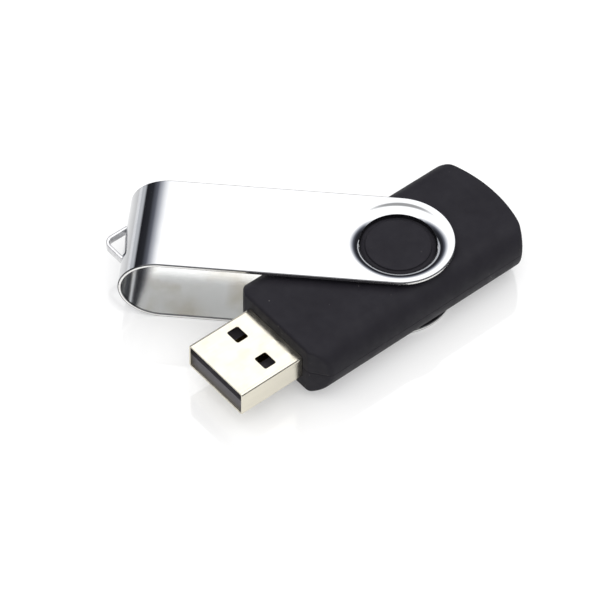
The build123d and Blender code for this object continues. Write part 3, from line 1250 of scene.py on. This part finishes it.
@dataclass
class PlugShell:
    """Folded sheet shell of the plug, with four latch windows and two legs."""

    pivot: Vector
    rear: float = 15.52 * MM
    mouth: float = 34.19 * MM
    width: float = 12.0 * MM
    height: float = 4.5 * MM
    thickness: float = 0.3 * MM
    corner: float = 0.5 * MM
    window_length: float = 2.0 * MM
    window_width: float = 2.5 * MM
    window_spacing: float = 6.2 * MM
    window_from_mouth: float = 5.6 * MM
    window_corner: float = 0.28 * MM
    inner_corner: float = 0.12 * MM
    lip: float = 0.09 * MM
    leg_length: float = 2.4 * MM
    leg_foot: float = -2.1 * MM
    leg_top: float = 1.05 * MM
    leg_overlap: float = 0.01 * MM
    edge_radius: float = 0.035 * MM

    def section(self, inset: float) -> list[Point2]:
        """Cross-section of the shell, drawn in by an inset."""
        radius = max(self.corner - inset, self.inner_corner)
        return rounded_rectangle(self.width - 2 * inset, self.height - 2 * inset, radius, steps=8)

    def window_cutters(self) -> list[bpy.types.Object]:
        """Round-cornered bars that punch the windows through top and bottom.

        Returns:
            One bar for each pair of windows.
        """
        middle_x = self.mouth - self.window_from_mouth - self.window_length / 2
        outline = rounded_rectangle(self.window_length, self.window_width, self.window_corner, steps=5)
        cutters = []
        for side in (-1, 1):
            spot = self.pivot + Vector((middle_x, side * self.window_spacing / 2, 0.0))
            ends = [spot + Vector((0.0, 0.0, z)) for z in (-self.height, self.height)]
            skin = Skin()
            skin.bar(ends, (Vector((x, y, 0.0)) for x, y in outline))
            cutters.append(skin.finish("window_cutter"))
        return cutters

    def stations(self) -> list[Point2]:
        """Rings of the shell: out along its outside, round the lip and back inside.

        Returns:
            Distance from the pivot and inset of each ring.
        """
        lip, wall, mouth = self.lip, self.thickness, self.mouth
        nearly = lip * 0.3
        return [
            (self.rear, 0.0),
            (mouth - lip, 0.0),
            (mouth - nearly, nearly),
            (mouth, lip),
            (mouth, wall - lip),
            (mouth - nearly, wall - nearly),
            (mouth - lip, wall),
            (self.rear, wall),
        ]

    def build(self) -> bpy.types.Object:
        """Make the shell as a tube with rolled lips, windows and legs.

        Returns:
            The shell as one mesh.
        """
        skin = Skin()
        rings = [
            skin.ring(self.pivot + Vector((x, y, z)) for y, z in self.section(inset))
            for x, inset in self.stations()
        ]
        for first, second in zip(rings, rings[1:] + rings[:1]):
            skin.bridge(first, second)
        for side in (-1, 1):
            faces = sorted((side * self.width / 2, side * (self.width / 2 - self.thickness)))
            low = self.pivot + Vector((self.rear - self.leg_length, faces[0], self.leg_foot))
            high = self.pivot + Vector((self.rear + self.leg_overlap, faces[1], self.leg_top))
            skin.brick(low, high)
        shell = skin.finish("plug_shell_sheet")
        return carved(shell, self.window_cutters())

    def dress(self) -> bpy.types.Object:
        """Build the shell and give it a nickel finish.

        Returns:
            The finished shell.
        """
        shell = dressed(self.build(), Body.CASING, [Nickel().build()], ["plug_shell"])
        rounded_edges(shell, self.edge_radius, 60.0)
        even_shading(shell)
        sharpen(shell, 60.0)
        return shell


# ---- chips and their leads --------------------------------------------------------


class LeadRows:
    """Geometry Nodes tree that sets a bent lead along the sides of a chip."""

    def __init__(self) -> None:
        """Build the tree, with its sizes as named inputs."""
        self.tree = bpy.data.node_groups.new("lead_rows", "GeometryNodeTree")
        kinds = {
            "Geometry": "Geometry",
            "Leads": "Int",
            "Pitch": "Float",
            "Reach": "Float",
            "Sides": "Int",
            "Finish": "Material",
        }
        for name, kind in kinds.items():
            self.tree.interface.new_socket(name, in_out="INPUT", socket_type=f"NodeSocket{kind}")
        self.tree.interface.new_socket("Geometry", in_out="OUTPUT", socket_type="NodeSocketGeometry")
        self.wire()

    def add(self, kind: str, **settings: object) -> bpy.types.Node:
        """Add one node to the tree.

        Args:
            kind: the node's type.
            settings: its properties by name.

        Returns:
            The new node.
        """
        node = self.tree.nodes.new(kind)
        for key, value in settings.items():
            setattr(node, key, value)
        return node

    def maths(self, operation: str, first: Socket, second: Socket | float) -> Socket:
        """One step of arithmetic.

        Args:
            operation: the Math node's operation.
            first: its first socket.
            second: its second socket, or a number.

        Returns:
            The socket of the result.
        """
        node = self.add("ShaderNodeMath", operation=operation)
        self.tree.links.new(first, node.inputs[0])
        if isinstance(second, float):
            node.inputs[1].default_value = second
        else:
            self.tree.links.new(second, node.inputs[1])
        return node.outputs[0]

    def wire(self) -> None:
        """Link the tree: one row of leads, turned to every side."""
        link = self.tree.links.new
        given = self.add("NodeGroupInput").outputs
        result = self.add("NodeGroupOutput")
        gaps = self.maths("SUBTRACT", given["Leads"], 1.0)
        span = self.maths("MULTIPLY", gaps, given["Pitch"])
        start = self.add("ShaderNodeCombineXYZ")
        link(given["Reach"], start.inputs["X"])
        link(self.maths("MULTIPLY", span, -0.5), start.inputs["Y"])
        step = self.add("ShaderNodeCombineXYZ")
        link(given["Pitch"], step.inputs["Y"])
        line = self.add("GeometryNodeMeshLine", mode="OFFSET")
        link(given["Leads"], line.inputs["Count"])
        link(start.outputs[0], line.inputs["Start Location"])
        link(step.outputs[0], line.inputs["Offset"])
        row = self.add("GeometryNodeInstanceOnPoints")
        link(line.outputs[0], row.inputs["Points"])
        link(given["Geometry"], row.inputs["Instance"])
        whole_row = self.add("GeometryNodeRealizeInstances")
        link(row.outputs[0], whole_row.inputs[0])
        sides = self.add("GeometryNodePoints")
        link(given["Sides"], sides.inputs["Count"])
        share = self.maths("DIVIDE", self.add("GeometryNodeInputIndex").outputs[0], given["Sides"])
        turn = self.add("ShaderNodeCombineXYZ")
        link(self.maths("MULTIPLY", share, 2 * math.pi), turn.inputs["Z"])
        every = self.add("GeometryNodeInstanceOnPoints")
        link(sides.outputs[0], every.inputs["Points"])
        link(whole_row.outputs[0], every.inputs["Instance"])
        link(turn.outputs[0], every.inputs["Rotation"])
        real = self.add("GeometryNodeRealizeInstances")
        link(every.outputs[0], real.inputs[0])
        paint = self.add("GeometryNodeSetMaterial")
        link(real.outputs[0], paint.inputs["Geometry"])
        link(given["Finish"], paint.inputs["Material"])
        link(paint.outputs[0], result.inputs[0])

    def grow(self, lead: bpy.types.Object, **values: object) -> bpy.types.Object:
        """Run the tree on one lead and bake the result to a plain mesh.

        Args:
            lead: an object that holds one lead, pointing along +X.
            values: the tree's inputs by name.

        Returns:
            The same object, now holding every lead.
        """
        modifier = lead.modifiers.new("rows", "NODES")
        modifier.node_group = self.tree
        items = self.tree.interface.items_tree
        sockets = {item.name: item.identifier for item in items if item.in_out == "INPUT"}
        for key, value in values.items():
            modifier[sockets[key]] = value
        return applied(lead)


@dataclass
class Chip:
    """A moulded chip with gull-wing leads, standing on or hung under the board."""

    name: str
    leads_per_side: int
    sides: int
    lead_reach: float = 0.8 * MM
    lead_thickness: float = 0.15 * MM
    lead_width: float = 0.22 * MM
    lead_bend: float = 0.12 * MM
    pitch: float = 0.5 * MM
    standoff: float = 0.1 * MM
    draft: float = 0.12 * MM
    corner: float = 0.15 * MM
    parting: float = 0.02 * MM
    edge_radius: float = 0.03 * MM
    dot_radius: float = 0.45 * MM
    dot_depth: float = 0.05 * MM
    dot_inset: float = 1.1 * MM
    dot_steps: int = 24

    def extent(self) -> tuple[Vector, Vector]:
        """Lowest and highest corner of the chip's moulded body."""
        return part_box(self.name)

    def upside_down(self) -> bool:
        """Whether the chip hangs under the board."""
        return self.extent()[1].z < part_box("circuit_board")[0].z

    def lead(self) -> bpy.types.Object:
        """One lead from x = 0, with rounded bends, its foot on z = 0.

        Returns:
            The lead as one closed mesh.
        """
        low, high = self.extent()
        middle = self.standoff + (high.z - low.z) / 2
        half = self.lead_thickness / 2
        knee = self.lead_reach / 3 + half
        bend = self.lead_bend
        quarter = spread(0.0, math.pi / 2, 4)
        path = [(0.0, middle + half), (knee - bend, middle + half)]
        path += [
            (knee - bend + bend * math.sin(a), middle + half - bend + bend * math.cos(a)) for a in quarter[1:]
        ]
        path += [(knee + bend - bend * math.cos(a), half + bend - bend * math.sin(a)) for a in quarter]
        path.append((self.lead_reach, half))
        skin = Skin()
        rings = []
        for index, (x, z) in enumerate(path):
            before = path[max(index - 1, 0)]
            after = path[min(index + 1, len(path) - 1)]
            way = Vector((after[0] - before[0], after[1] - before[1])).normalized()
            normal = Vector((-way.y, way.x)) * half
            corners = ((1, 1), (1, -1), (-1, -1), (-1, 1))
            rings.append(
                skin.ring(
                    (x + face * normal.x, edge * self.lead_width / 2, z + face * normal.y)
                    for face, edge in corners
                )
            )
        for first, second in zip(rings, rings[1:]):
            skin.bridge(first, second)
        for end in (0, -1):
            x, z = path[end]
            skin.fan(rings[end], (x, 0.0, z))
        return skin.finish(f"{self.name}_lead_frame")

    def dress_leads(self, rows: LeadRows, tin: bpy.types.Material) -> bpy.types.Object:
        """Grow the leads round the body and put them on the board.

        Args:
            rows: the tree that repeats a lead.
            tin: the leads' finish.

        Returns:
            All of the chip's leads as one piece.
        """
        low, high = self.extent()
        lead = rows.grow(
            self.lead(),
            Leads=self.leads_per_side,
            Pitch=self.pitch,
            Reach=(high.x - low.x) / 2,
            Sides=self.sides,
            Finish=tin,
        )
        middle = (low + high) / 2
        if self.upside_down():
            lead.data.transform(Matrix.Rotation(math.pi, 4, "X"))
            foot = high.z + self.standoff
        else:
            foot = low.z - self.standoff
        lead.data.transform(Matrix.Translation((middle.x, middle.y, foot)))
        return dressed(lead, Body.CASING, [tin], [f"{self.name}_leads"])

    def dress_body(self, compound: bpy.types.Material) -> bpy.types.Object:
        """Mould the body: drafted sides, a parting line and a first-pin dot.

        Args:
            compound: the body's finish.

        Returns:
            The finished body.
        """
        low, high = self.extent()
        centre = (low + high) / 2
        size = high - low
        levels = (
            (low.z, self.draft),
            (centre.z - self.parting, self.parting / 2),
            (centre.z, 0.0),
            (high.z, self.draft),
        )
        skin = Skin()
        rings = []
        for z, inset in levels:
            outline = rounded_rectangle(size.x - 2 * inset, size.y - 2 * inset, self.corner, steps=3)
            rings.append(skin.ring(Vector((centre.x + x, centre.y + y, z)) for x, y in outline))
        for first, second in zip(rings, rings[1:]):
            skin.bridge(first, second)
        for end in (0, -1):
            skin.fan(rings[end], (centre.x, centre.y, levels[end][0]))
        body = skin.finish(f"{self.name}_body")
        carved(body, [self.pin_dot(low, high)])
        rounded_edges(body, self.edge_radius, 50.0)
        even_shading(body)
        made = dressed(body, Body.CASING, [compound], [self.name])
        sharpen(made, 30.0)
        return made

    def pin_dot(self, low: Vector, high: Vector) -> bpy.types.Object:
        """The cutter of a shallow round dimple that marks the first lead.

        Args:
            low: the body's lowest corner.
            high: its highest corner.

        Returns:
            A short cylinder across the body's outer face.
        """
        face = low.z if self.upside_down() else high.z
        spot = Vector((low.x + self.dot_inset, low.y + self.dot_inset, face))
        ends = [spot + Vector((0.0, 0.0, z)) for z in (-self.dot_depth, self.dot_depth)]
        angles = [2 * math.pi * index / self.dot_steps for index in range(self.dot_steps)]
        skin = Skin()
        skin.bar(ends, (Vector((math.cos(a), math.sin(a), 0.0)) * self.dot_radius for a in angles))
        return skin.finish("pin_dot")


# ---- pieces that keep their CAD shape ----------------------------------------------


class SmallParts:
    """Finishes for the CAD nodes whose shape is kept."""

    def finishes(self) -> list[tuple[Finish, tuple[str, ...]]]:
        """Every finish with the nodes that take it.

        Returns:
            Pairs of a finish and the names of its nodes.
        """
        # The tongue's dark grey is partly painted shade: darkened to the shade deep in the plug's mouth,
        # while its own plastic may be lighter.
        tongue_in_shade = Moulded("tongue_plastic", (0.080, 0.075, 0.090), (0.062, 0.058, 0.070))
        gold = Plate("contact_gold", (0.83, 0.62, 0.28), (0.74, 0.53, 0.22), (0.14, 0.26))
        tin = Plate("cap_tin", (0.70, 0.70, 0.68), (0.58, 0.58, 0.57))
        solder = Plate("soft_solder", (0.66, 0.66, 0.66), (0.52, 0.52, 0.53), (0.12, 0.30))
        base = Moulded("crystal_ceramic", (0.45, 0.40, 0.32), (0.36, 0.32, 0.25))
        lid = Plate("crystal_lid_metal", (0.72, 0.68, 0.60), (0.62, 0.58, 0.52), (0.22, 0.34))
        capacitor = Moulded("capacitor_ceramic", (0.42, 0.27, 0.15), (0.34, 0.21, 0.11))
        resistor = Moulded("resistor_film", (0.02, 0.02, 0.024), (0.035, 0.033, 0.035), (0.15, 0.30))
        return [
            (tongue_in_shade, ("plug_insulator",)),
            (gold, ("contact_power", "contact_data_minus", "contact_data_plus", "contact_ground")),
            (Laminate(), ("circuit_board",)),
            (tin, ("capacitor_end_caps", "resistor_end_caps")),
            (solder, ("shell_solder", "contact_solder")),
            (base, ("crystal_base",)),
            (lid, ("crystal_lid",)),
            (capacitor, ("chip_capacitors",)),
            (resistor, ("chip_resistors",)),
        ]

    def dress(self, nodes: dict[str, bpy.types.Object]) -> None:
        """Give every kept node its finish.

        Args:
            nodes: the frame's nodes by name.
        """
        for finish, members in self.finishes():
            material = finish.build()
            for member in members:
                piece = nodes[member]
                piece.data.materials.clear()
                piece.data.materials.append(material)
                log.info("%s keeps its shape, in %s", member, material.name)


# ---- studio ---------------------------------------------------------------------


@dataclass
class Studio:
    """Pale glossy floor, soft surrounding light and the camera."""

    pivot: Vector
    azimuth: float = math.radians(49.08)
    elevation: float = math.radians(49.28)
    roll: float = math.radians(1.306)
    distance: float = 489.3 * MM
    lens: float = 202.31
    sensor: float = 36.0
    far_clip: float = 20.0
    aim_from_pivot: tuple[float, float, float] = (14.837 * MM, -4.388 * MM, -0.725 * MM)
    floor_half: float = 1.5
    floor_fade: Span = (240.0 * MM, 420.0 * MM)
    floor_near: Colour = (0.63, 0.628, 0.624)
    floor_far: Colour = (0.06, 0.06, 0.065)
    floor_glow: float = 0.33
    light_strength: float = 1.86
    ceiling_tilt: tuple[float, float, float] = (0.0, 0.12, 1.0)
    gap_elevation: float = math.radians(73)
    gap_radii: Span = (math.radians(17), math.radians(7))
    gap_brightness: float = 0.30

    def camera(self) -> None:
        """Place the camera and make it the scene's."""
        aim = self.pivot + Vector(self.aim_from_pivot)
        level = math.cos(self.elevation)
        back = Vector(
            (math.cos(self.azimuth) * level, math.sin(self.azimuth) * level, math.sin(self.elevation))
        )
        right = (-back).cross(Vector((0.0, 0.0, 1.0))).normalized()
        up = right.cross(-back)
        turned_right = right * math.cos(self.roll) + up * math.sin(self.roll)
        turned_up = up * math.cos(self.roll) - right * math.sin(self.roll)
        data = bpy.data.cameras.new("camera")
        data.lens = self.lens
        data.sensor_width = self.sensor
        data.clip_end = self.far_clip
        camera = bpy.data.objects.new("camera", data)
        columns = Matrix((turned_right, turned_up, back)).transposed()
        camera.matrix_world = Matrix.Translation(aim + back * self.distance) @ columns.to_4x4()
        bpy.context.scene.collection.objects.link(camera)
        bpy.context.scene.camera = camera

    def floor(self) -> None:
        """Lay the floor: a wide glossy sheet that darkens far from the drive."""
        half = self.floor_half
        skin = Skin()
        near, far = (skin.ring(((-half, y, 0.0), (half, y, 0.0))) for y in (-half, half))
        skin.bridge(near, far, closed=False)
        floor = skin.finish("studio_floor", outward=False)
        graph = Graph("floor_gloss")
        length = graph.nodes.new("ShaderNodeVectorMath")
        length.operation = "LENGTH"
        graph.links.new(graph.place, length.inputs[0])
        graph.tone(length.outputs["Value"], self.floor_fade, self.floor_near, self.floor_far)
        graph.set(Roughness=0.035, Specular_IOR_Level=0.75)
        graph.set(Emission_Color=(1.0, 1.0, 1.0, 1.0), Emission_Strength=self.floor_glow)
        floor.data.materials.append(graph.material)

    def panel_gap(self) -> Vector:
        """Direction of the dim gap between the ceiling panels, opposite the camera.

        Returns:
            A unit vector that points up at the gap.
        """
        level = -math.cos(self.gap_elevation)
        return Vector(
            (level * math.cos(self.azimuth), level * math.sin(self.azimuth), math.sin(self.gap_elevation))
        )

    def ceiling_stops(self) -> tuple[tuple[float, Colour], ...]:
        """Brightness of the surroundings from the horizon to the ceiling.

        Returns:
            Sines of the height with the colour there: a grey haze, a dark wall and the white ceiling.
        """
        return (
            (0.0, (0.40, 0.41, 0.43)),
            (0.03, (0.34, 0.35, 0.37)),
            (0.10, (0.012, 0.012, 0.015)),
            (0.33, (0.020, 0.021, 0.025)),
            (0.46, (0.095, 0.10, 0.12)),
            (0.56, (0.42, 0.43, 0.46)),
            (0.66, (1.0, 1.0, 1.0)),
        )

    def surround(self) -> None:
        """Light the scene from a bright ceiling above a dark horizon."""
        world = bpy.data.worlds.new("studio")
        bpy.context.scene.world = world
        world.use_nodes = True
        nodes = world.node_tree.nodes
        links = world.node_tree.links
        sky = nodes["Background"]
        sky.inputs["Strength"].default_value = self.light_strength
        looking = nodes.new("ShaderNodeTexCoord").outputs["Generated"]

        tilted = nodes.new("ShaderNodeVectorMath")
        tilted.operation = "DOT_PRODUCT"
        tilted.inputs[1].default_value = self.ceiling_tilt
        links.new(looking, tilted.inputs[0])
        ramp = nodes.new("ShaderNodeValToRGB")
        links.new(tilted.outputs["Value"], ramp.inputs[0])
        stops = self.ceiling_stops()
        ends = ramp.color_ramp.elements
        ends[0].position, ends[1].position = stops[0][0], stops[-1][0]
        ends[0].color, ends[1].color = (*stops[0][1], 1.0), (*stops[-1][1], 1.0)
        for position, colour in stops[1:-1]:
            ramp.color_ramp.elements.new(position).color = (*colour, 1.0)

        gap = nodes.new("ShaderNodeVectorMath")
        gap.operation = "DOT_PRODUCT"
        gap.inputs[1].default_value = self.panel_gap()
        links.new(looking, gap.inputs[0])
        shade = nodes.new("ShaderNodeMapRange")
        shade.interpolation_type = "SMOOTHSTEP"
        shade.inputs["From Min"].default_value = math.cos(self.gap_radii[0])
        shade.inputs["From Max"].default_value = math.cos(self.gap_radii[1])
        shade.inputs["To Min"].default_value = 1.0
        shade.inputs["To Max"].default_value = self.gap_brightness
        links.new(gap.outputs["Value"], shade.inputs["Value"])
        dimmed = nodes.new("ShaderNodeVectorMath")
        dimmed.operation = "SCALE"
        links.new(ramp.outputs["Color"], dimmed.inputs[0])
        links.new(shade.outputs["Result"], dimmed.inputs["Scale"])
        links.new(dimmed.outputs["Vector"], sky.inputs["Color"])

    def build(self) -> None:
        """Set up the floor, the light, the camera and plain tones."""
        self.floor()
        self.surround()
        self.camera()
        bpy.context.scene.view_settings.view_transform = "Standard"


# ---- whole drive ------------------------------------------------------------------


def main() -> None:
    """Dress every piece of the drive and set up the studio round it."""
    logging.basicConfig(level=logging.INFO, format="%(message)s")
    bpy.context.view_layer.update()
    pivot = Vector(frame["joints"][0]["pos_m"])
    low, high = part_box("swivel_cover")
    Studio(pivot).build()
    soft_touch = SoftTouch().build()
    # Near-black finish of the groove and journal round the boss: a painted shadow in that recess.
    groove_shade = Moulded("groove_painted_shade", (0.0025, 0.0025, 0.003), (0.004, 0.004, 0.0045), (0.35, 0.5)).build()
    for side in Side:
        CasingHalf(pivot, side).dress(soft_touch, groove_shade)
    cover = SwivelCover(pivot, (high.z - low.z) / 2)
    cover.dress()
    KeyLoop(cover).dress()
    PlugShell(pivot).dress()
    tin = Plate("lead_tin", (0.70, 0.70, 0.68), (0.58, 0.58, 0.57)).build()
    compound = Moulded("mould_compound", (0.020, 0.020, 0.022), (0.028, 0.027, 0.029)).build()
    rows = LeadRows()
    for chip in (Chip("memory_chip", 24, 2), Chip("controller_chip", 12, 4)):
        chip.dress_body(compound)
        chip.dress_leads(rows, tin)
    SmallParts().dress(frame["nodes"])


if __name__ == "__main__":
    main()
